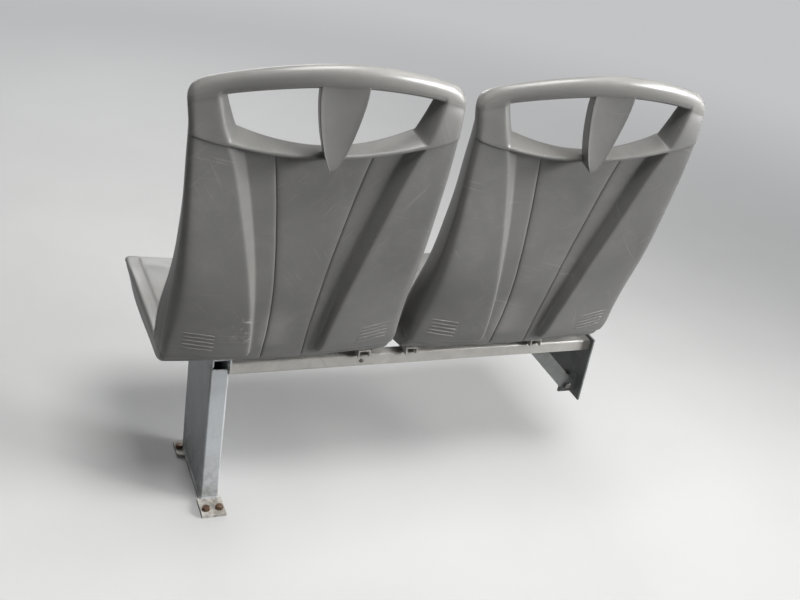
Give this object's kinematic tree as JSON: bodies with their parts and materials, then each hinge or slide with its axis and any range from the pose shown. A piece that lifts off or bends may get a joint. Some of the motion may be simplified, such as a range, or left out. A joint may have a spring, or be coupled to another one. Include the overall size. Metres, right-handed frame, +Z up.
{
  "type": "twin passenger seat of a city bus",
  "caption": "Twin bus seat: moulded plastic shells with hand holds in their backs, on a steel frame with a leg by the aisle and a bracket on the side wall.",
  "frame": {"origin": "on the floor, midway between the two rear floor bolts of the leg's foot plate", "axes": "+X from the aisle to the side wall, which is the sitter's right; +Y the way the sitter faces, towards the front of the bus; +Z up"},
  "size_m": [0.92, 0.5344, 0.9442],
  "materials": {
    "shell_plastic": "grained mid-grey moulded plastic, scuffed by use",
    "leg_steel": "light grey paint on folded sheet steel",
    "foot_steel": "worn light grey paint, marked by shoes",
    "rail_steel": "warm light grey paint on square tube",
    "bracket_steel": "mid-grey paint on flat steel"
  },
  "bodies": {
    "root": {"foot_plate": "foot_steel", "leg_box": "leg_steel", "leg_front_plate": "leg_steel", "leg_head": "leg_steel", "rail_rear": "rail_steel", "rail_front": "rail_steel", "strap_aisle_shell": "rail_steel", "strap_window_shell": "rail_steel", "strap_wall_side": "rail_steel", "wall_plate": "bracket_steel", "lug_rear": "bracket_steel", "lug_front": "bracket_steel", "strut_rear": "bracket_steel", "strut_front": "bracket_steel", "shell_aisle": "shell_plastic", "shell_window": "shell_plastic"}
  },
  "joints": []
}
